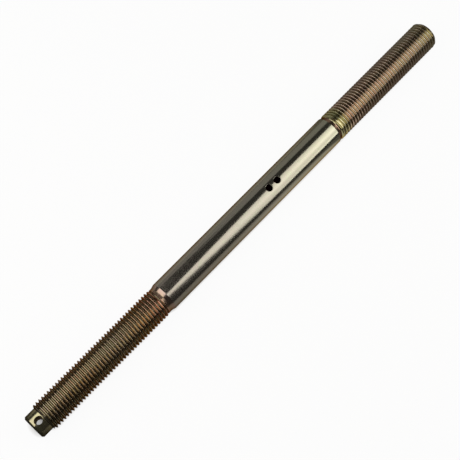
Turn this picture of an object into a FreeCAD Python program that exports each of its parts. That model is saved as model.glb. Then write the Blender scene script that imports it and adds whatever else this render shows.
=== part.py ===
import FreeCAD, Part
import math
import os

from FreeCAD import Vector

# Spindle of a tractor lift rod: one round steel bar, turned and plated, with a left-hand thread at its
# lower end and a right-hand thread at its upper end. It is a single rigid piece, so its sections are
# modelled one by one and meet face to face at the shoulders that the lathe left.
# The bar lies along X with its lower end at -X. Z is the axis of all three cross holes.
# The origin is on the bar's axis, half way along its length. All sizes are in millimetres.

# Bar and thread sizes
barDiameter = 31.75  # bright bar of 1 1/4 inch, which is also the major diameter of both threads
rolledBlankDiameter = 29.5  # turned down before the thread is rolled, so it shows beside the thread
threadPitch = 25.4 / 7  # seven turns to the inch

# Lengths along the bar, from the lower end to the upper end
stubLength = 13.3
lowerThreadLength = 156.2
lowerNeckLength = 6.7
shankLength = 246.6
upperNeckLength = 4.2
upperThreadLength = 155.0

# Turned details
neckConeLength = 3.8  # cone from the rolled blank up to the bar
threadStartChamfer = 1.6  # on the lower thread, where the locking stub begins
threadEndChamferLength = 3.0  # on the upper thread, at the bar's end
threadEndChamferDepth = 2.6
threadRunOut = 0.6 * threadPitch  # the last turn fades into the neck
stubDiameter = 26.0
stubEndChamfer = 1.6
stubRootFillet = 0.6

# Cross holes, all drilled through and parallel
lockHoleDiameter = 7.8
lockHoleMouthDiameter = 9.3  # 90 degree countersink, measured along the stub's top line
lockHoleFromEnd = 7.9  # from the stub's end face to the hole's middle
shankHoleDiameter = 7.5
shankHoleSpacing = 12.0
shankHolesFromLowerEnd = 156.7  # from the shank's lower end to the middle of the pair
holeEdgeBreak = 0.3

# Radii
barRadius = barDiameter / 2
blankRadius = rolledBlankDiameter / 2
stubRadius = stubDiameter / 2

# Stations along X
totalLength = (
    stubLength + lowerThreadLength + lowerNeckLength + shankLength + upperNeckLength + upperThreadLength
)
lowerEnd = -totalLength / 2
stubShoulder = lowerEnd + stubLength
filletStart = stubShoulder - stubRootFillet
lockHoleMiddle = lowerEnd + lockHoleFromEnd
lowerThreadEnd = stubShoulder + lowerThreadLength
shankStart = lowerThreadEnd + lowerNeckLength
shankEnd = shankStart + shankLength
upperThreadStart = shankEnd + upperNeckLength
upperEnd = upperThreadStart + upperThreadLength


def at(x, radius):
    """A point of a half profile, in the plane through the bar's axis."""
    return Vector(x, 0, radius)


def turned(edges):
    """Turns a half profile, whose ends lie on the bar's axis, into a solid."""
    start = edges[0].firstVertex().Point
    end = edges[-1].lastVertex().Point
    outline = Part.Wire(edges + [Part.makeLine(end, start)])
    return Part.Face(outline).revolve(Vector(0, 0, 0), Vector(1, 0, 0), 360)


def lines(points):
    return [Part.makeLine(a, b) for a, b in zip(points, points[1:])]


def drilled(solid, x, diameter):
    """Drills right through the bar along Z."""
    drill = Part.makeCylinder(diameter / 2, 2 * barDiameter, Vector(x, 0, -barDiameter), Vector(0, 0, 1))
    return solid.cut(drill)


def countersunk(solid, x, mouthDiameter, surfaceRadius):
    """Opens both mouths of a cross hole with a 90 degree tool, whose point stays inside the hole."""
    for side in (-1, 1):
        point = Vector(x, 0, side * (surfaceRadius - mouthDiameter / 2))
        solid = solid.cut(Part.makeCone(0, mouthDiameter, mouthDiameter, point, Vector(0, 0, side)))
    return solid


def withBrokenRims(solid, x, diameter):
    """Breaks the two sharp edges that the drill leaves, all along their saddle curve."""
    rims = [edge for edge in solid.Edges if isRim(edge, x, diameter)]
    return solid.makeChamfer(holeEdgeBreak, rims)


def isRim(edge, x, diameter):
    """Whether an edge runs round the mouth of the cross hole at x."""
    ends = edge.ParameterRange
    samples = [edge.valueAt(ends[0] + (ends[1] - ends[0]) * step / 8) for step in range(9)]
    offAxis = [math.hypot(point.x - x, point.y) for point in samples]
    across = max(point.y for point in samples) - min(point.y for point in samples)
    return across > 0.1 and all(abs(distance - diameter / 2) < 1e-3 for distance in offAxis)


def lockingStub():
    """Plain stub at the lower end, with the hole for the locking pin."""
    edges = lines(
        [
            at(lowerEnd, 0),
            at(lowerEnd, stubRadius - stubEndChamfer),
            at(lowerEnd + stubEndChamfer, stubRadius),
            at(filletStart, stubRadius),
            at(filletStart, 0),
        ]
    )
    solid = drilled(turned(edges), lockHoleMiddle, lockHoleDiameter)
    return countersunk(solid, lockHoleMiddle, lockHoleMouthDiameter, stubRadius)


def lowerThread():
    """Left-hand threaded section, as the plain barrel over its crests, with the stub's root fillet."""
    filletTop = at(stubShoulder, stubRadius + stubRootFillet)
    filletCentre = at(filletStart, stubRadius + stubRootFillet)
    filletMiddle = filletCentre + Vector(math.sin(math.pi / 4), 0, -math.cos(math.pi / 4)) * stubRootFillet
    edges = lines([at(filletStart, 0), at(filletStart, stubRadius)])
    edges.append(Part.Arc(at(filletStart, stubRadius), filletMiddle, filletTop).toShape())
    edges += lines(
        [
            filletTop,
            at(stubShoulder, barRadius - threadStartChamfer),
            at(stubShoulder + threadStartChamfer, barRadius),
            at(lowerThreadEnd - threadRunOut, barRadius),
            at(lowerThreadEnd, blankRadius),
            at(lowerThreadEnd, 0),
        ]
    )
    return turned(edges)


def lowerNeck():
    """The rolled blank that the lower thread leaves bare, and the cone up to the shank."""
    return turned(
        lines(
            [
                at(lowerThreadEnd, 0),
                at(lowerThreadEnd, blankRadius),
                at(shankStart - neckConeLength, blankRadius),
                at(shankStart, barRadius),
                at(shankStart, 0),
            ]
        )
    )


def shank():
    """The bar at its full diameter, with two cross holes side by side."""
    solid = turned(
        lines([at(shankStart, 0), at(shankStart, barRadius), at(shankEnd, barRadius), at(shankEnd, 0)])
    )
    middle = shankStart + shankHolesFromLowerEnd
    for side in (-1, 1):
        x = middle + side * shankHoleSpacing / 2
        solid = withBrokenRims(drilled(solid, x, shankHoleDiameter), x, shankHoleDiameter)
    return solid


def upperNeck():
    """The cone down from the shank, and the short blank before the upper thread."""
    return turned(
        lines(
            [
                at(shankEnd, 0),
                at(shankEnd, barRadius),
                at(shankEnd + neckConeLength, blankRadius),
                at(upperThreadStart, blankRadius),
                at(upperThreadStart, 0),
            ]
        )
    )


def upperThread():
    """Right-hand threaded section, as the plain barrel over its crests."""
    return turned(
        lines(
            [
                at(upperThreadStart, 0),
                at(upperThreadStart, blankRadius),
                at(upperThreadStart + threadRunOut, barRadius),
                at(upperEnd - threadEndChamferLength, barRadius),
                at(upperEnd, barRadius - threadEndChamferDepth),
                at(upperEnd, 0),
            ]
        )
    )


sections = {
    "locking_stub": lockingStub,
    "lower_thread": lowerThread,
    "lower_neck": lowerNeck,
    "shank": shank,
    "upper_neck": upperNeck,
    "upper_thread": upperThread,
}

os.makedirs("parts", exist_ok=True)
for name, make in sections.items():
    shape = make()
    if shape.ShapeType != "Solid":
        shape = shape.Solids[0]
    shape.exportStep("parts/" + name + ".step")
    print(name, "valid" if shape.isValid() else "not valid", round(shape.Volume), "cubic mm")
print("total length", totalLength, "mm")
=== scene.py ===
import math

import bmesh
import bpy
from mathutils import Matrix, Vector


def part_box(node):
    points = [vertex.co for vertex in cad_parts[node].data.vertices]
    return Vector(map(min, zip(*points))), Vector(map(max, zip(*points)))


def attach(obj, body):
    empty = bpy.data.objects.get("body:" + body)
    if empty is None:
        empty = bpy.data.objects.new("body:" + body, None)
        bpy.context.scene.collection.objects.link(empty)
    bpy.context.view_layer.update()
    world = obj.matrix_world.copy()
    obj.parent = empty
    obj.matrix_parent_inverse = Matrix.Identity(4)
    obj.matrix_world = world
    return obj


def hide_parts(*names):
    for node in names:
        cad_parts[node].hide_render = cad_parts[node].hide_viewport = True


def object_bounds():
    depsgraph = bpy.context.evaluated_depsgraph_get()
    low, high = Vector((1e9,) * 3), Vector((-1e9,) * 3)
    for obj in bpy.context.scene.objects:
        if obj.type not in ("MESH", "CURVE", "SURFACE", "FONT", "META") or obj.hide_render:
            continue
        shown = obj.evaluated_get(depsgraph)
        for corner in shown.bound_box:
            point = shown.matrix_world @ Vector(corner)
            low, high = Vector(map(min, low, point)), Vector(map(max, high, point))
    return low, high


# Spindle of a tractor lift rod: one turned steel bar with a left-hand and a right-hand rolled thread,
# zinc plated and yellow passivated. It lies on a pale table among glowing panels.
# Everything is built in metres, and the sizes in the dictionaries are in millimetres.

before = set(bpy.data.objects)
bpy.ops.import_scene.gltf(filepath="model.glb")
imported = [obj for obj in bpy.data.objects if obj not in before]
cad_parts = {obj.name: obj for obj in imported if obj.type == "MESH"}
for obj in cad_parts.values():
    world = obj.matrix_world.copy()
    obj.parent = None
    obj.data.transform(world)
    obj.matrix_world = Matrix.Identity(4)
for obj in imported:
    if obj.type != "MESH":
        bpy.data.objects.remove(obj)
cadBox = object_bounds()

mm = 0.001  # in metres
columns = 96  # sides of every turned section, so that neighbours meet ring on ring
scene = bpy.context.scene
pureWhite, pureBlack = (1, 1, 1, 1), (0, 0, 0, 1)
# A Mix node has inputs of the same name for numbers and for colours, so their places tell them apart
numberA, numberB, colourA, colourB, colourMixed = 2, 3, 6, 7, 2


def spanOf(node):
    low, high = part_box(node)
    return low.x, high.x


def addNode(tree, kind, links=None, **settings):
    # links gives each input, by its name or place, a number, a colour, an output socket or another node,
    # which stands for its first output
    node = tree.nodes.new(kind)
    for name, value in settings.items():
        setattr(node, name, value)
    for key, value in (links or {}).items():
        if isinstance(value, bpy.types.Node):
            value = value.outputs[0]
        if isinstance(value, bpy.types.NodeSocket):
            tree.links.new(value, node.inputs[key])
        else:
            node.inputs[key].default_value = value
    return node


def newMaterial(name):
    material = bpy.data.materials.new(name)
    material.use_nodes = True
    material.node_tree.nodes.clear()
    return material, material.node_tree


def toLinear(hexColour):
    channels = [int(hexColour[i : i + 2], 16) / 255 for i in (1, 3, 5)]
    return [c / 12.92 if c <= 0.04045 else ((c + 0.055) / 1.055) ** 2.4 for c in channels] + [1.0]


def fillRamp(node, stops):
    elements = node.color_ramp.elements
    while len(elements) < len(stops):
        elements.new(0.5)  # it gets its own position below
    for element, (position, colour) in zip(elements, stops):
        element.position = position
        element.color = colour


# Camera: above the bar, turned so that the bar lies from lower left to upper right. Angles are in degrees
cameraView = {
    "azimuth": -62.54,
    "elevation": 72.44,
    "roll": -16.23,
    "distance": 1074.7,
    "aim": (-19.7, 0.3, 0.0),
    "lens": 83.76,
    "clip": (10, 50000),
}


def makeCamera(view):
    azimuth, elevation, roll = (math.radians(view[k]) for k in ("azimuth", "elevation", "roll"))
    back = Vector(
        (
            math.sin(azimuth) * math.cos(elevation),
            -math.cos(azimuth) * math.cos(elevation),
            math.sin(elevation),
        )
    )
    level = Vector((math.cos(azimuth), math.sin(azimuth), 0))
    up = back.cross(level) * math.cos(roll) + level * math.sin(roll)
    right = up.cross(back)
    data = bpy.data.cameras.new("camera")
    data.lens = view["lens"]
    data.clip_start, data.clip_end = (distance * mm for distance in view["clip"])
    camera = bpy.data.objects.new("camera", data)
    turn = Matrix((right, up, back)).transposed().to_4x4()
    camera.matrix_world = Matrix.Translation((Vector(view["aim"]) + back * view["distance"]) * mm) @ turn
    scene.collection.objects.link(camera)
    scene.camera = camera


makeCamera(cameraView)
scene.view_settings.view_transform = "Standard"
print("camera placed")


# Light panels, by their corners. A panel with a core glows most there, by the gain, and falls to its
# radiance at the reach. One without a core glows evenly.
evenGlow = {"core": (0, 0, 0), "coreGain": 0.0, "reach": 1}
lightPanels = {
    "panel_right": {
        "corners": [
            (-37, -208, 900),
            (405, 180, 900),
            (870, 40, 900),
            (870, -2350, 900),
        ],
        "radiance": 1.75,
        "core": (600, -420, 900),
        "coreGain": 1.0,
        "reach": 450,
    },
    "panel_right_end": {
        "corners": [
            (870, 40, 900),
            (960, -150, 900),
            (1400, -250, 900),
            (1600, -1350, 900),
            (1500, -2500, 900),
            (870, -2350, 900),
        ],
        "radiance": 2.6,
        "core": (900, -350, 900),
        "coreGain": 1.4,
        "reach": 450,
    },
    "panel_left": {
        "corners": [(-75, -45, 700), (-1150, -45, 700), (-1150, 1374, 700), (10, 1374, 700)],
        "radiance": 2.1,
    },
    "panel_left_end": {
        "corners": [(-1150, -45, 700), (-2300, -45, 700), (-2300, 1374, 700), (-1150, 1374, 700)],
        "radiance": 1.2,
        "core": (-2300, 400, 700),
        "coreGain": 1.5,
        "reach": 700,
    },
    "panel_far": {
        "corners": [
            (100, 1350, -10),
            (2500, 1350, -10),
            (2500, 1350, 1250),
            (378, 1350, 1250),
            (378, 1350, 750),
            (100, 1350, 600),
        ],
        "radiance": 0.35,
    },
}


def makePanel(name, panel):
    panel = {**evenGlow, **panel}
    mesh = bpy.data.meshes.new(name)
    corners = [Vector(corner) * mm for corner in panel["corners"]]
    mesh.from_pydata(corners, [], [list(range(len(corners)))])
    material, tree = newMaterial(name + "_glow")
    place = addNode(tree, "ShaderNodeTexCoord").outputs["Object"]
    core = Vector(panel["core"]) * mm
    fromCore = addNode(tree, "ShaderNodeVectorMath", {0: place, 1: core}, operation="DISTANCE")
    glow = addNode(
        tree,
        "ShaderNodeMapRange",
        {
            "Value": fromCore.outputs["Value"],
            "From Max": panel["reach"] * mm,
            "To Min": panel["radiance"] + panel["coreGain"],
            "To Max": panel["radiance"],
        },
    )
    light = addNode(tree, "ShaderNodeEmission", {"Color": pureWhite, "Strength": glow})
    addNode(tree, "ShaderNodeOutputMaterial", {"Surface": light})
    mesh.materials.append(material)
    panelObject = bpy.data.objects.new(name, mesh)
    panelObject.visible_camera = False
    scene.collection.objects.link(panelObject)


for panelName, panel in lightPanels.items():
    makePanel(panelName, panel)

# Room and table show white to the camera, and a share of that white in mirrored and refracted rays
room = {"fill": 0.04, "shareMirrored": 0.01}
table = {
    "side": 12000,
    "colourSeen": "#e0ded9",
    "colourMirrored": "#a9a7a3",
    "shareSeen": 0.94,
    "shareBehind": 0.2,
    # painted glow on the table, seen only in the metal: its share of white, by the distance in front of
    # the bar and along it
    "paintedGlowAcross": [(-200, 0.0), (-90, 0.3), (-50, 0.6), (-30, 0.95), (0, 1.0)],
    "paintedGlowAlong": [
        (-290, 0.0),
        (-100, 0.15),
        (-10, 0.5),
        (60, 1.0),
        (138, 1.0),
        (150, 0.2),
        (230, 0.12),
    ],
    # painted shade on the table, seen only in the metal: 1 where there is none, darker towards the stub
    "paintedShadeAlong": [(-310, 0.1), (-285, 0.2), (-268, 1.0), (135, 1.0), (150, 0.45)],
    # shade right under the bar, seen through the stub's hole
    "contactDistance": 6.5,
    "contactPower": 2.0,
    "contactSamples": 16,
}


def whiteShare(tree, seen, mirrored):
    # seen is the share of white for the camera, and mirrored the share in mirrored and refracted rays
    path = addNode(tree, "ShaderNodeLightPath").outputs
    bounced = addNode(
        tree,
        "ShaderNodeMath",
        {0: path["Is Glossy Ray"], 1: path["Is Transmission Ray"]},
        operation="MAXIMUM",
    )
    bouncedShare = addNode(tree, "ShaderNodeMath", {0: bounced, 1: mirrored}, operation="MULTIPLY")
    return addNode(
        tree,
        "ShaderNodeMath",
        {0: path["Is Camera Ray"], 1: seen, 2: bouncedShare},
        operation="MULTIPLY_ADD",
    )


def makeWorld(values):
    world = bpy.data.worlds.new("studio")
    world.use_nodes = True
    tree = world.node_tree
    tree.nodes.clear()
    dark = addNode(tree, "ShaderNodeBackground", {"Color": pureWhite, "Strength": values["fill"]})
    white = addNode(tree, "ShaderNodeBackground", {"Color": pureWhite, "Strength": 1.0})
    share = whiteShare(tree, 1.0, values["shareMirrored"])
    both = addNode(tree, "ShaderNodeMixShader", {0: share, 1: dark, 2: white})
    addNode(tree, "ShaderNodeOutputWorld", {"Surface": both})
    scene.world = world


def shareBy(tree, coordinate, stops):
    # each stop is a place on the table, in millimetres, and the share there
    low, high = stops[0][0], stops[-1][0]
    span = {"Value": coordinate, "From Min": low * mm, "From Max": high * mm}
    place = addNode(tree, "ShaderNodeMapRange", span)
    ramp = addNode(tree, "ShaderNodeValToRGB", {0: place})
    fillRamp(ramp, [((spot - low) / (high - low), (share, share, share, 1)) for spot, share in stops])
    return ramp


# Pale laminate: matt, so the bar's shade on it stays soft and has no pattern. In the metal it shows a
# painted glow in front of the bar and painted shade towards the stub
def paleLaminate(values):
    material, tree = newMaterial("pale_laminate")
    place = addNode(tree, "ShaderNodeTexCoord").outputs["Object"]
    spot = addNode(tree, "ShaderNodeSeparateXYZ", {0: place}).outputs
    # painted shade: the table as the metal sees it darkens towards the stub
    reach = shareBy(tree, spot["X"], values["paintedShadeAlong"])
    dimming = {0: reach, colourA: pureBlack, colourB: toLinear(values["colourMirrored"])}
    dimmed = addNode(tree, "ShaderNodeMix", dimming, data_type="RGBA").outputs[colourMixed]
    seenDirectly = addNode(tree, "ShaderNodeLightPath").outputs["Is Camera Ray"]
    choice = {0: seenDirectly, colourA: dimmed, colourB: toLinear(values["colourSeen"])}
    colour = addNode(tree, "ShaderNodeMix", choice, data_type="RGBA").outputs[colourMixed]
    matt = addNode(tree, "ShaderNodeBsdfDiffuse", {"Color": colour})
    white = addNode(tree, "ShaderNodeEmission", {"Color": pureWhite, "Strength": 1.0})
    # painted glow: the table's white as the metal sees it, graded in front of the bar and even behind it
    across = shareBy(tree, spot["Y"], values["paintedGlowAcross"])
    along = shareBy(tree, spot["X"], values["paintedGlowAlong"])
    front = addNode(tree, "ShaderNodeMath", {0: across, 1: along}, operation="MULTIPLY")
    behind = addNode(tree, "ShaderNodeMath", {0: spot["Y"], 1: 0.0}, operation="GREATER_THAN")
    sides = {0: behind, numberA: front, numberB: values["shareBehind"]}
    mirrored = addNode(tree, "ShaderNodeMix", sides, data_type="FLOAT")
    nearby = {"Distance": values["contactDistance"] * mm}
    openness = addNode(tree, "ShaderNodeAmbientOcclusion", nearby, samples=values["contactSamples"])
    power = {0: openness.outputs["AO"], 1: values["contactPower"]}
    contact = addNode(tree, "ShaderNodeMath", power, operation="POWER")
    seen = addNode(tree, "ShaderNodeMath", {0: contact, 1: values["shareSeen"]}, operation="MULTIPLY")
    paintedGlowAndShade = addNode(tree, "ShaderNodeMath", {0: mirrored, 1: reach}, operation="MULTIPLY")
    share = whiteShare(tree, seen, paintedGlowAndShade)
    both = addNode(tree, "ShaderNodeMixShader", {0: share, 1: matt, 2: white})
    addNode(tree, "ShaderNodeOutputMaterial", {"Surface": both})
    return material


def makeTable(values):
    half = values["side"] / 2 * mm
    height = cadBox[0].z
    corners = [(-half, -half, height), (half, -half, height), (half, half, height), (-half, half, height)]
    mesh = bpy.data.meshes.new("table_top")
    mesh.from_pydata(corners, [], [(0, 1, 2, 3)])
    mesh.materials.append(paleLaminate(values))
    top = bpy.data.objects.new("table_top", mesh)
    scene.collection.objects.link(top)


makeWorld(room)
makeTable(table)
print("panels, room and table made")


# Materials. Yellow passivated zinc: a metal under a thin film whose colour drifts between straw, olive,
# green, rose and copper with the film's thickness, in patches and slowly along the bar. In each look,
# patches has colours by the height of a noise, and drift has colours by the place along the bar.
# The sizes of patches and grain are along the bar and across it. The real grain is finer than the render
# can show, so it is drawn as coarse as it needs to show.
patchNoise = {"Scale": 1.0, "Detail": 3.0, "Roughness": 0.55}
grainNoise = {"Scale": 1.0, "Detail": 2.0, "Roughness": 0.5}
grainLow, grainHigh = 0.3, 0.7  # most of the grain's noise lies between these


def filmColour(tree, place, look):
    patchScale = [1 / size for size in look["patchSize"]]
    patchPlace = addNode(tree, "ShaderNodeMapping", {0: place, "Scale": patchScale})
    patches = addNode(tree, "ShaderNodeTexNoise", {"Vector": patchPlace, **patchNoise})
    patchTint = addNode(tree, "ShaderNodeValToRGB", {0: patches.outputs["Fac"]})
    fillRamp(patchTint, [(position, toLinear(colour)) for position, colour in look["patches"]])
    low, high = cadBox[0].x / mm, cadBox[1].x / mm
    onAxis = addNode(tree, "ShaderNodeSeparateXYZ", {0: place}).outputs["X"]
    share = addNode(tree, "ShaderNodeMapRange", {"Value": onAxis, "From Min": low, "From Max": high})
    drift = addNode(tree, "ShaderNodeValToRGB", {0: share})
    fillRamp(drift, [((x - low) / (high - low), toLinear(colour)) for x, colour in look["drift"]])
    layers = {0: look["driftShare"], colourA: patchTint, colourB: drift}
    return addNode(tree, "ShaderNodeMix", layers, data_type="RGBA").outputs[colourMixed]


def paintShadeInHollows(tree, place, deep, colour, roughness):
    # painted shade down in a cross hole or a thread's root: darker and duller by the distance from the
    # bar's axis
    acrossBar = {0: place, 1: (0, 1, 1)}
    outward = addNode(tree, "ShaderNodeVectorMath", acrossBar, operation="MULTIPLY")
    fromAxis = addNode(tree, "ShaderNodeVectorMath", {0: outward}, operation="LENGTH").outputs["Value"]
    span = {"Value": fromAxis, "From Min": deep["from"], "From Max": deep["to"]}
    depth = addNode(tree, "ShaderNodeMapRange", span)
    tints = {0: depth, colourA: colour, colourB: toLinear(deep["shadeColour"])}
    tinted = addNode(tree, "ShaderNodeMix", tints, data_type="RGBA").outputs[colourMixed]
    dullness = {0: depth, numberA: roughness, numberB: deep["roughness"]}
    return tinted, addNode(tree, "ShaderNodeMix", dullness, data_type="FLOAT")


def platedMetal(name, look):
    material, tree = newMaterial(name)
    place = addNode(tree, "ShaderNodeTexCoord").outputs["Object"]
    inMillimetres = addNode(tree, "ShaderNodeVectorMath", {0: place, "Scale": 1 / mm}, operation="SCALE")
    colour = filmColour(tree, inMillimetres, look)
    grainScale = [1 / size for size in look["grainSize"]]
    grainPlace = addNode(tree, "ShaderNodeMapping", {0: inMillimetres, "Scale": grainScale})
    grain = addNode(tree, "ShaderNodeTexNoise", {"Vector": grainPlace, **grainNoise}).outputs["Fac"]
    smooth, rough = look["roughness"]
    spread = {"From Min": grainLow, "From Max": grainHigh, "To Min": smooth, "To Max": rough}
    roughness = addNode(tree, "ShaderNodeMapRange", {"Value": grain, **spread})
    # painted shade in hollows, where the look has it
    if "deep" in look:
        colour, roughness = paintShadeInHollows(tree, inMillimetres, look["deep"], colour, roughness)
    relief = {"Strength": 1.0, "Distance": look["grainDepth"] * mm, "Height": grain}
    bump = addNode(tree, "ShaderNodeBump", relief)
    metal = addNode(
        tree,
        "ShaderNodeBsdfPrincipled",
        {
            "Base Color": colour,
            "Metallic": 1.0,
            "Roughness": roughness,
            "Specular Tint": toLinear(look["edgeTint"]),
            "Normal": bump,
        },
    )
    addNode(tree, "ShaderNodeOutputMaterial", {"Surface": metal})
    return material


# Bright drawn bar: smooth, with faint lines along its length, so it mirrors the panels as clean bands.
# Its cross holes' walls are duller and carry painted shade, darker below the surface.
passivatedBar = platedMetal(
    "yellow_passivated_drawn_bar",
    {
        "patches": [
            (0.3, "#8c8a70"),
            (0.42, "#a3a08a"),
            (0.52, "#9f8f80"),
            (0.62, "#9aa080"),
            (0.75, "#a0907a"),
        ],
        "patchSize": (7.14, 3.33, 3.33),
        "drift": [(-115, "#9f968c"), (0, "#a09b8e"), (90, "#a3a08c"), (132, "#a8a890")],
        "driftShare": 0.65,
        "grainSize": (6.67, 0.5, 0.5),
        "grainDepth": 0.003,
        "roughness": (0.13, 0.2),
        "edgeTint": "#a08468",
        # painted shade in the cross holes
        "deep": {"from": 15.5, "to": 14.0, "shadeColour": "#3a2c22", "roughness": 0.5},
    },
)
# Turned steel: the same film over fine rings left by the tool, which make its highlights a little softer
passivatedTurned = platedMetal(
    "yellow_passivated_turned_steel",
    {
        "patches": [(0.3, "#9c9874"), (0.45, "#a09476"), (0.55, "#9a8676"), (0.7, "#8e8c68")],
        "patchSize": (5.0, 5.0, 5.0),
        "drift": [
            (-291, "#a39f7c"),
            (-278, "#a8a27c"),
            (-121, "#9c7c62"),
            (-115, "#a8908a"),
            (133, "#96705c"),
        ],
        "driftShare": 0.65,
        "grainSize": (1 / 3, 3.33, 3.33),
        "grainDepth": 0.004,
        "roughness": (0.16, 0.24),
        "edgeTint": "#a08468",
    },
)
# Rolled thread: burnished, with gold, copper and rose in its film, and painted shade, a darker olive, on
# the lower flanks and in the roots, so that each crest stands out as a bright line
passivatedThread = platedMetal(
    "yellow_passivated_rolled_thread",
    {
        "patches": [
            (0.3, "#9d987c"),
            (0.42, "#a89a78"),
            (0.52, "#ac8c70"),
            (0.62, "#a4877a"),
            (0.75, "#9a9876"),
        ],
        "patchSize": (5.0, 8.33, 8.33),
        "drift": [
            (-278, "#9e9884"),
            (-230, "#aa9672"),
            (-180, "#a39a84"),
            (-150, "#ae926a"),
            (-124, "#b48c7a"),
            (136, "#a8aa7a"),
            (147, "#aaac7c"),
            (152, "#bfaa98"),
            (270, "#b6ac9a"),
            (288, "#b0ae8c"),
        ],
        "driftShare": 0.65,
        "grainSize": (1.0, 1.0, 1.0),
        "grainDepth": 0.004,
        "roughness": (0.16, 0.24),
        "edgeTint": "#a87850",
        # painted shade on the lower flanks and in the roots
        "deep": {"from": 14.6, "to": 13.65, "shadeColour": "#827a5e", "roughness": 0.24},
    },
)
print("materials made")

weldDistance = 0.001 * mm
sharpAngle = math.radians(28)  # faces that meet at more than this keep a crisp edge, as at the crests


def addPiece(name, mesh, material):
    shell = bmesh.new()
    shell.from_mesh(mesh)
    bmesh.ops.remove_doubles(shell, verts=shell.verts, dist=weldDistance)
    bmesh.ops.recalc_face_normals(shell, faces=shell.faces)
    shell.to_mesh(mesh)
    shell.free()
    mesh.shade_smooth()
    mesh.set_sharp_from_angle(angle=sharpAngle)
    mesh.materials.clear()
    mesh.materials.append(material)
    piece = bpy.data.objects.new(name, mesh)
    scene.collection.objects.link(piece)
    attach(piece, "root")
    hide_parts(name.replace("plated_", ""))
    print(name, len(mesh.polygons), "faces")


def onBar(x, radius, angle):
    return Vector((x, radius * math.sin(angle), radius * math.cos(angle)))


# Turned sections that are not threaded are made ring by ring. A cross hole is drilled in the middle of a
# window in the bar's surface, which is filled loop by loop from its border to the hole's rim.
windowSteps = columns // 8  # faces of the bar that the window takes, along the bar and round it
windowLoops = (0.33, 0.67)  # where the loops lie on the way from the border to the rim
rimSteps, wallSteps = 4, 6  # loops down the rim, and from one mouth of the hole to the other
placeTolerance = 0.01 * mm  # a ring this close to the window's edge belongs to it
leastRim = 0.02 * mm  # a countersink is at least this much wider than its hole
settlingRounds = 12  # until the countersink's width has settled on the round bar


def turnedMesh(name, profile, holes=()):
    # profile runs from the centre of one end to the centre of the other, as (x, radius)
    shell = bmesh.new()
    angles = [2 * math.pi * k / columns for k in range(columns)]
    rings = []
    for x, radius in profile:
        spots = [onBar(x, radius, angle) for angle in angles] if radius else [(x, 0, 0)]
        rings.append([shell.verts.new(spot) for spot in spots])
    windows = []
    for hole in holes:
        reach = hole["halfWindow"] + placeTolerance
        inside = [i for i, (x, radius) in enumerate(profile) if radius and abs(x - hole["x"]) < reach]
        windows.append((inside[0], inside[-1]))
    for i, (a, b) in enumerate(zip(rings, rings[1:])):
        drilled = any(first <= i < last for first, last in windows)
        for k in range(columns):
            nextK = (k + 1) % columns
            fromTop = min(k, columns - 1 - k)
            fromBottom = min(abs(k - columns // 2), abs(k + 1 - columns // 2))
            if drilled and min(fromTop, fromBottom) < windowSteps // 2:
                continue
            if len(a) == 1:
                shell.faces.new((a[0], b[k], b[nextK]))
            elif len(b) == 1:
                shell.faces.new((a[k], b[0], a[nextK]))
            else:
                shell.faces.new((a[k], b[k], b[nextK], a[nextK]))
    for (first, last), hole in zip(windows, holes):
        drill(shell, rings, profile[first][1], first, last, hole)
    mesh = bpy.data.meshes.new(name)
    shell.to_mesh(mesh)
    shell.free()
    return mesh


def bridge(shell, a, b):
    for k in range(len(a)):
        shell.faces.new((a[k - 1], a[k], b[k], b[k - 1]))


def drill(shell, rings, barRadius, first, last, hole):
    x, half = hole["x"], windowSteps // 2
    border = [(first, k) for k in range(-half, half)]
    border += [(i, half) for i in range(first, last)]
    border += [(last, k) for k in range(half, -half, -1)]
    border += [(i, -half) for i in range(last, first, -1)]
    mouths = []
    for side in (1, -1):
        middle = 0 if side == 1 else columns // 2
        loop = [rings[i][(middle + side * k) % columns] for i, k in border]
        corners = [Vector((vertex.co.x - x, vertex.co.y)) for vertex in loop]
        rays = [Vector((math.cos(b), math.sin(b))) for b in (math.atan2(c.y, c.x) for c in corners)]
        rim = rimOf(hole, barRadius, rays)
        outer = [ray * reach for ray, (reach, _) in zip(rays, rim[0])]
        rows = [[(c.lerp(o, share), 0.0) for c, o in zip(corners, outer)] for share in windowLoops]
        rows += [[(ray * reach, depth) for ray, (reach, depth) in zip(rays, row)] for row in rim]
        for row in rows:
            ring = []
            for spot, depth in row:
                z = math.sqrt(barRadius**2 - spot.y**2) - depth
                ring.append(shell.verts.new((x + spot.x, spot.y, side * z)))
            bridge(shell, loop, ring)
            loop = ring
        mouths.append(loop)
    previous = mouths[0]
    for step in range(1, wallSteps + 1):
        current = mouths[1]
        if step < wallSteps:
            share = step / wallSteps
            current = [shell.verts.new(a.co.lerp(b.co, share)) for a, b in zip(mouths[0], mouths[1])]
        bridge(shell, previous, current)
        previous = current


def rimOf(hole, barRadius, rays):
    # for each loop of the rim, how far out each of its points lies and how deep under the bar's surface
    radius = hole["radius"]
    rim = []
    if "mouth" not in hole:
        for step in range(rimSteps + 1):
            turn = math.pi / 2 * step / rimSteps
            reach = radius + hole["edge"] * (1 - math.sin(turn))
            rim.append([(reach, hole["edge"] * (1 - math.cos(turn)))] * len(rays))
        return rim
    # a 90 degree countersink: at height z its cone has the radius z - apex
    apex = barRadius - hole["mouth"]
    outer = []
    for ray in rays:
        reach = hole["mouth"]
        for _ in range(settlingRounds):
            reach = math.sqrt(barRadius**2 - (reach * ray.y) ** 2) - apex
        outer.append(max(reach, radius + leastRim))
    for step in range(rimSteps + 1):
        row = []
        for ray, widest in zip(rays, outer):
            reach = widest + (radius - widest) * step / rimSteps
            height = math.sqrt(barRadius**2 - (reach * ray.y) ** 2)
            row.append((reach, max(height - (apex + reach), 0.0)))
        rim.append(row)
    return rim


def evenly(start, end, count):
    return [start + (end - start) * k / count for k in range(count + 1)]


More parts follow.
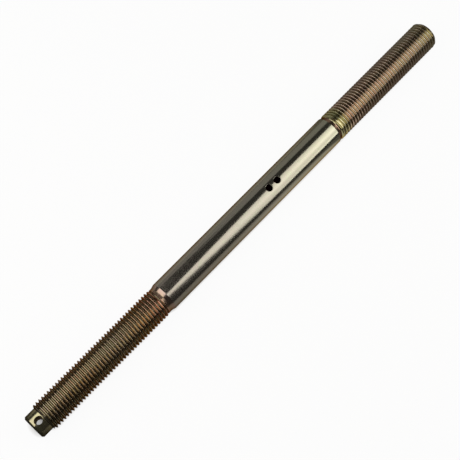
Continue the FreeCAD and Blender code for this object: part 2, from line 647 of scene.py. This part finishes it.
# Locking stub, with a countersunk hole for the pin
stub = {
    "radius": 13.0,
    "chamfer": 1.6,
    "edge": 0.2,  # how far each corner of the chamfer is softened
    "holeFromEnd": 7.9,
    "holeRadius": 3.9,
    "mouth": 4.65,  # radius of the countersink
    "halfWindow": 4.75,  # half the length of the window that the hole is drilled in
}


def makeStub(values):
    start, end = spanOf("locking_stub")
    radius, chamfer, edge = (values[k] * mm for k in ("radius", "chamfer", "edge"))
    half = values["halfWindow"] * mm
    middle = start + values["holeFromEnd"] * mm
    inset, runOn = edge * 0.3, edge * 0.4  # at a softened corner, into the metal and on past the chamfer
    profile = [(start, 0), (start, radius / 2), (start, radius - chamfer - edge)]
    profile += [(start + inset, radius - chamfer), (start + chamfer - inset, radius - inset)]
    profile += [(start + chamfer + runOn, radius)]
    profile += [(x, radius) for x in evenly(middle - half, middle + half, windowSteps)]
    profile += [(end, radius), (end, 0)]
    hole = {"x": middle, "halfWindow": half}
    hole["radius"] = values["holeRadius"] * mm
    hole["mouth"] = values["mouth"] * mm
    mesh = turnedMesh("locking_stub", profile, [hole])
    addPiece("plated_locking_stub", mesh, passivatedTurned)


makeStub(stub)

# Shank, with two cross holes side by side
bar = {
    "radius": 15.875,
    "holeRadius": 3.75,
    "holeEdge": 0.3,  # rounding of the holes' rims
    "spacing": 12.0,
    "pairFromLowerEnd": 156.7,
    "stepsBefore": 12,
    "stepsAfter": 8,
}


def makeShank(values):
    start, end = spanOf("shank")
    radius, half = values["radius"] * mm, values["spacing"] / 2 * mm
    pair = start + values["pairFromLowerEnd"] * mm
    places = evenly(start, pair - 2 * half, values["stepsBefore"])
    places += evenly(pair - 2 * half, pair + 2 * half, 2 * windowSteps)[1:]
    places += evenly(pair + 2 * half, end, values["stepsAfter"])[1:]
    profile = [(start, 0)] + [(x, radius) for x in places] + [(end, 0)]
    hole = {"radius": values["holeRadius"] * mm, "edge": values["holeEdge"] * mm, "halfWindow": half}
    holes = [{**hole, "x": pair + side * half} for side in (-1, 1)]
    addPiece("plated_shank", turnedMesh("shank", profile, holes), passivatedBar)


makeShank(bar)

# Necks: the blank that the thread is rolled on, and the cone up to the bar
neck = {
    "barRadius": bar["radius"],
    "blankRadius": 14.75,
    "cone": 3.8,
    "corner": 0.5,  # the bend between blank and cone, each way
    "cornerShare": 0.9,  # of the blank's length, at most
    "bendSteps": 4,
}


def makeNeck(node, values, towardsShank):
    start, end = spanOf(node)
    threadSide, shankSide = (start, end) if towardsShank > 0 else (end, start)
    barRadius, blankRadius, cone = (values[k] * mm for k in ("barRadius", "blankRadius", "cone"))
    foot = shankSide - towardsShank * cone
    slope = (barRadius - blankRadius) / cone
    corner = min(values["corner"] * mm, abs(foot - threadSide) * values["cornerShare"])
    profile = [(threadSide, 0), (threadSide, blankRadius)]
    for step in range(values["bendSteps"] + 1):
        along = corner * (2 * step / values["bendSteps"] - 1)
        rise = slope * (along + corner) ** 2 / (4 * corner)
        profile.append((foot + towardsShank * along, blankRadius + rise))
    profile += [(shankSide, barRadius), (shankSide, 0)]
    addPiece("plated_" + node, turnedMesh(node, profile), passivatedTurned)


makeNeck("lower_neck", neck, 1)
makeNeck("upper_neck", neck, -1)

# Rolled threads, by geometry nodes. Lengths run from the neck, where a thread fades out, to its end face
lengthInputs = [
    "Start",
    "Length",
    "Pitch",
    "Crest Radius",
    "Root Radius",
    "Blank Radius",
    "Boss Radius",
    "Crest Width",
    "Soft Crest Width",
    "Soft Length",
    "Crest Run Out",
    "Groove Run Out",
    "Chamfer Length",
    "Face Radius",
    "Fillet",
]
numberInputs = ["Direction", "Hand", "Phase", "Crest Slope", "Soft Crest Slope"]
threadInputs = {
    "NodeSocketFloat": lengthInputs + numberInputs,
    "NodeSocketInt": ["Rows per Turn", "Columns"],
    "NodeSocketMaterial": ["Material"],
}
rowsPerTurn = 16
spareTurns = 3.0  # rows beyond the thread's ends are pressed flat on them
filletSteps = 4.0
otherRows = filletSteps + 3.0  # the fillet's start and its steps, and a pole at each end
shiftTurns = 64.0  # more than the thread has, so that no place on it is negative
crestShare, flankShare = 3 / 8, 5 / 8  # of the rows from crest to root, where the flank starts and ends
flankSlope = math.sqrt(3)  # 60 degree thread

# Each step is a name, an operation and its terms: numbers, inputs of the group or names of earlier steps.
# First the size of the grid
gridSteps = [
    ("turns", "DIVIDE", "Length", "Pitch"),
    ("wholeTurns", "CEIL", "turns"),
    ("turnsWithSpare", "ADD", "wholeTurns", spareTurns),
    ("threadRows", "MULTIPLY_ADD", "turnsWithSpare", "Rows per Turn", 1.0),
    ("rows", "ADD", "threadRows", otherRows),
    ("lastRow", "SUBTRACT", "rows", 1.0),
    ("ringPoints", "ADD", "Columns", 1.0),
]
# Then a point's row and column, how far its row is from the crest, and where the crest of its turn lies
placeSteps = [
    ("halfRows", "DIVIDE", "lastRow", 2.0),
    ("rowPlace", "ADD", "gridX", "halfRows"),
    ("row", "ROUND", "rowPlace"),
    ("halfColumns", "DIVIDE", "Columns", 2.0),
    ("columnPlace", "ADD", "gridY", "halfColumns"),
    ("column", "ROUND", "columnPlace"),
    ("around", "DIVIDE", "column", "Columns"),  # 0 to 1 once round the bar
    ("handed", "MULTIPLY", "Hand", "Direction"),
    ("lean", "MULTIPLY", "handed", -1.0),
    ("threadRow", "SUBTRACT", "row", 1.0),
    ("evenTurn", "DIVIDE", "threadRow", "Rows per Turn"),
    ("wholeTurn", "FLOOR", "evenTurn"),
    ("middleTurn", "ADD", "wholeTurn", 0.5),
    ("fromMiddleRow", "SUBTRACT", "evenTurn", "middleTurn"),
    ("side", "SIGN", "fromMiddleRow"),
    ("asideRow", "ABSOLUTE", "fromMiddleRow"),
    ("rowShare", "MULTIPLY", "asideRow", 2.0),
    ("onCrestFree", "DIVIDE", "rowShare", crestShare),
    ("onCrest", "MINIMUM", "onCrestFree", 1.0),
    ("afterCrest", "SUBTRACT", "rowShare", crestShare),
    ("onFlankFree", "DIVIDE", "afterCrest", flankShare - crestShare),
    ("onFlankFrom", "MAXIMUM", "onFlankFree", 0.0),
    ("onFlank", "MINIMUM", "onFlankFrom", 1.0),
    ("afterFlank", "SUBTRACT", "rowShare", flankShare),
    ("onRootFree", "DIVIDE", "afterFlank", 1 - flankShare),
    ("onRoot", "MAXIMUM", "onRootFree", 0.0),
    ("middleBack", "SUBTRACT", "middleTurn", 1.0),
    ("middlePhased", "SUBTRACT", "middleBack", "Phase"),
    ("middleHelix", "MULTIPLY_ADD", "lean", "around", "middlePhased"),
    ("middleAlong", "MULTIPLY", "middleHelix", "Pitch"),
]
# Then its place along the thread, so that rows lie on both edges of each flank, and the way to the crest
cornerSteps = [
    ("halfCrestHere", "MULTIPLY", "widthHere", 0.5),
    ("halfPitch", "MULTIPLY", "Pitch", 0.5),
    ("besideCrest", "SUBTRACT", "halfPitch", "halfCrestHere"),
    ("depth", "SUBTRACT", "Crest Radius", "bottomHere"),
    ("flankFree", "DIVIDE", "depth", flankSlope),
    ("flankWidth", "MINIMUM", "flankFree", "besideCrest"),
    ("rootWidth", "SUBTRACT", "besideCrest", "flankWidth"),
    ("crestReach", "MULTIPLY", "onCrest", "halfCrestHere"),
    ("flankReach", "MULTIPLY_ADD", "onFlank", "flankWidth", "crestReach"),
    ("reach", "MULTIPLY_ADD", "onRoot", "rootWidth", "flankReach"),
    ("freely", "MULTIPLY_ADD", "side", "reach", "middleAlong"),
    ("fromStart", "MAXIMUM", "freely", 0.0),
    ("along", "MINIMUM", "fromStart", "Length"),
    ("alongTurns", "DIVIDE", "along", "Pitch"),
    ("leaned", "MULTIPLY", "lean", "around"),
    ("unwound", "SUBTRACT", "alongTurns", "leaned"),
    ("phased", "ADD", "unwound", "Phase"),
    ("positive", "ADD", "phased", shiftTurns),
    ("inTurn", "FRACT", "positive"),
    ("fromMiddle", "SUBTRACT", "inTurn", 0.5),
    ("aside", "ABSOLUTE", "fromMiddle"),
    ("fromCrest", "MULTIPLY", "aside", "Pitch"),
]
# Each fade is a place along the thread, the length that it takes, and its values at the neck and beyond
rowFades = {
    "widthHere": ("middleAlong", "Soft Length", "Soft Crest Width", "Crest Width"),
    "bottomHere": ("middleAlong", "Groove Run Out", "Blank Radius", "Root Radius"),
}
shapeFades = {
    "crestWidth": ("along", "Soft Length", "Soft Crest Width", "Crest Width"),
    "crestSlope": ("along", "Soft Length", "Soft Crest Slope", "Crest Slope"),
    "crestGrown": ("along", "Crest Run Out", 0.0, 1.0),
    "bottom": ("along", "Groove Run Out", "Blank Radius", "Root Radius"),
}
# Last the radius, from the crest, flank and root to the chamfer, the fillet at the end and the two poles
shapeSteps = [
    ("halfCrest", "MULTIPLY", "crestWidth", 0.5),
    ("beyondCrest", "SUBTRACT", "fromCrest", "halfCrest"),
    ("flank", "MULTIPLY_ADD", "beyondCrest", -flankSlope, "Crest Radius"),
    ("crestSquare", "MULTIPLY", "fromCrest", "fromCrest"),
    ("crestBow", "DIVIDE", "crestSquare", "halfCrest"),
    ("halfSlope", "MULTIPLY", "crestSlope", -0.5),
    ("crowned", "MULTIPLY_ADD", "crestBow", "halfSlope", "Crest Radius"),
    ("crested", "MINIMUM", "flank", "crowned"),
    ("profile", "MAXIMUM", "crested", "bottom"),
    ("relief", "SUBTRACT", "profile", "Blank Radius"),
    ("raised", "MAXIMUM", "relief", 0.0),
    ("sunk", "MINIMUM", "relief", 0.0),
    ("raisedHere", "MULTIPLY_ADD", "raised", "crestGrown", "Blank Radius"),
    ("rolled", "ADD", "sunk", "raisedHere"),
    ("chamferFall", "SUBTRACT", "Crest Radius", "Face Radius"),
    ("chamferSlope", "DIVIDE", "chamferFall", "Chamfer Length"),
    ("toFace", "SUBTRACT", "Length", "along"),
    ("chamfer", "MULTIPLY_ADD", "toFace", "chamferSlope", "Face Radius"),
    ("threadRadius", "MINIMUM", "rolled", "chamfer"),
    ("capRow", "SUBTRACT", "threadRow", "threadRows"),
    ("isCap", "GREATER_THAN", "capRow", -0.5),
    ("capSteps", "DIVIDE", "capRow", filletSteps),
    ("capFromZero", "MAXIMUM", "capSteps", 0.0),
    ("capShare", "MINIMUM", "capFromZero", 1.0),
    ("capTurn", "MULTIPLY", "capShare", math.pi / 2),
    ("capSine", "SINE", "capTurn"),
    ("capCosine", "COSINE", "capTurn"),
    ("capForward", "SUBTRACT", 1.0, "capCosine"),
    ("capInward", "SUBTRACT", 1.0, "capSine"),
    ("capAlong", "MULTIPLY_ADD", "capForward", "Fillet", "Length"),
    ("capRadius", "MULTIPLY_ADD", "capInward", "Fillet", "Boss Radius"),
    ("alongGap", "SUBTRACT", "capAlong", "along"),
    ("radiusGap", "SUBTRACT", "capRadius", "threadRadius"),
    ("finalAlong", "MULTIPLY_ADD", "isCap", "alongGap", "along"),
    ("openRadius", "MULTIPLY_ADD", "isCap", "radiusGap", "threadRadius"),
    ("beforeLast", "SUBTRACT", "rows", 1.5),
    ("isLast", "GREATER_THAN", "row", "beforeLast"),
    ("isFirst", "LESS_THAN", "row", 0.5),
    ("isPole", "MAXIMUM", "isFirst", "isLast"),
    ("notPole", "SUBTRACT", 1.0, "isPole"),
    ("radius", "MULTIPLY", "openRadius", "notPole"),
    ("angle", "MULTIPLY", "around", 2 * math.pi),
    ("sine", "SINE", "angle"),
    ("cosine", "COSINE", "angle"),
    ("x", "MULTIPLY_ADD", "finalAlong", "Direction", "Start"),
    ("y", "MULTIPLY", "radius", "sine"),
    ("z", "MULTIPLY", "radius", "cosine"),
]


def threadTree():
    # A grid is rolled up. Its rows run along the helix, so that each row keeps one place of the profile.
    # The first row is the pole at the neck. The last rows are the end's fillet, its face and its pole.
    tree = bpy.data.node_groups.new("rolledThread", "GeometryNodeTree")
    tree.interface.new_socket("Geometry", in_out="OUTPUT", socket_type="NodeSocketGeometry")
    for kind, names in threadInputs.items():
        for name in names:
            tree.interface.new_socket(name, in_out="INPUT", socket_type=kind)
    known = {socket.name: socket for socket in addNode(tree, "NodeGroupInput").outputs if socket.name}

    def work(steps):
        for name, operation, *terms in steps:
            links = {i: known.get(term, term) for i, term in enumerate(terms)}
            known[name] = addNode(tree, "ShaderNodeMath", links, operation=operation)

    def fade(fades):
        for name, (spot, length, atNeck, beyond) in fades.items():
            ends = {"To Min": known.get(atNeck, atNeck), "To Max": known.get(beyond, beyond)}
            links = {"Value": known[spot], "From Max": known[length], **ends}
            known[name] = addNode(tree, "ShaderNodeMapRange", links, interpolation_type="SMOOTHSTEP")

    work(gridSteps)
    grid = addNode(
        tree,
        "GeometryNodeMeshGrid",
        {
            "Size X": known["lastRow"],
            "Size Y": known["Columns"],
            "Vertices X": known["rows"],
            "Vertices Y": known["ringPoints"],
        },
    )
    spot = addNode(tree, "ShaderNodeSeparateXYZ", {0: addNode(tree, "GeometryNodeInputPosition")})
    known["gridX"], known["gridY"] = spot.outputs["X"], spot.outputs["Y"]
    work(placeSteps)
    fade(rowFades)
    work(cornerSteps)
    fade(shapeFades)
    work(shapeSteps)
    place = addNode(tree, "ShaderNodeCombineXYZ", {0: known["x"], 1: known["y"], 2: known["z"]})
    flat = grid.outputs["Mesh"]
    rolledUp = addNode(tree, "GeometryNodeSetPosition", {"Geometry": flat, "Position": place})
    weld = {"Geometry": rolledUp, "Distance": 2 * weldDistance}
    closed = addNode(tree, "GeometryNodeMergeByDistance", weld)
    real = addNode(tree, "GeometryNodeRealizeInstances", {"Geometry": closed})
    painted = addNode(tree, "GeometryNodeSetMaterial", {"Geometry": real, "Material": known["Material"]})
    addNode(tree, "NodeGroupOutput", {"Geometry": painted})
    return tree


def growFromNodes(name, tree, values):
    holder = bpy.data.objects.new(name, bpy.data.meshes.new(name))
    scene.collection.objects.link(holder)
    modifier = holder.modifiers.new("nodes", "NODES")
    modifier.node_group = tree
    for item in tree.interface.items_tree:
        if item.in_out == "INPUT":
            modifier[item.identifier] = values[item.name]
    evaluated = holder.evaluated_get(bpy.context.evaluated_depsgraph_get())
    mesh = bpy.data.meshes.new_from_object(evaluated)
    holder.modifiers.remove(modifier)
    bpy.data.objects.remove(holder)
    return mesh


# 1 1/4-7 thread. Near the neck, where the dies ran out, its crests are wider: the Soft values hold there
# and fade into the others along the Soft Length. Hand is -1 for left, Phase moves the crests, in turns,
# and Crest Slope is how steeply a crest falls at its edge.
rolledThread = {
    "Pitch": 25.4 / 7,
    "Crest Radius": bar["radius"],
    "Root Radius": 13.65,
    "Blank Radius": neck["blankRadius"],
    "Boss Radius": stub["radius"],
}
lowerThread = {
    "Hand": -1.0,
    "Phase": 0.555,
    "Crest Width": 0.5,
    "Crest Slope": 0.3,
    "Soft Crest Width": 0.55,
    "Soft Crest Slope": 0.35,
    "Soft Length": 60.0,
    "Crest Run Out": 5.0,
    "Groove Run Out": 1.0,
    "Chamfer Length": 1.6,
    "Face Radius": 14.275,
    "Fillet": 0.6,
}
upperThread = {
    "Hand": 1.0,
    "Phase": 0.545,
    "Crest Width": 0.95,
    "Crest Slope": 0.6,
    "Soft Crest Width": 2.0,
    "Soft Crest Slope": 0.1,
    "Soft Length": 14.0,
    "Crest Run Out": 1.2,
    "Groove Run Out": 16.0,
    "Chamfer Length": 3.0,
    "Face Radius": 13.275,
    "Fillet": 0.0,
}


def makeThread(node, tree, own, direction):
    start, end = spanOf(node)
    if direction < 0:
        start, end = end, start
    values = {**rolledThread, **own}
    for name in values:
        if name in lengthInputs:
            values[name] *= mm
    values["Direction"] = float(direction)
    values["Start"] = start
    values["Length"] = abs(end - start) - values["Fillet"]
    values["Rows per Turn"] = rowsPerTurn
    values["Columns"] = columns
    values["Material"] = passivatedThread
    addPiece("plated_" + node, growFromNodes(node, tree, values), passivatedThread)


rolledTree = threadTree()
makeThread("lower_thread", rolledTree, lowerThread, -1)
makeThread("upper_thread", rolledTree, upperThread, 1)
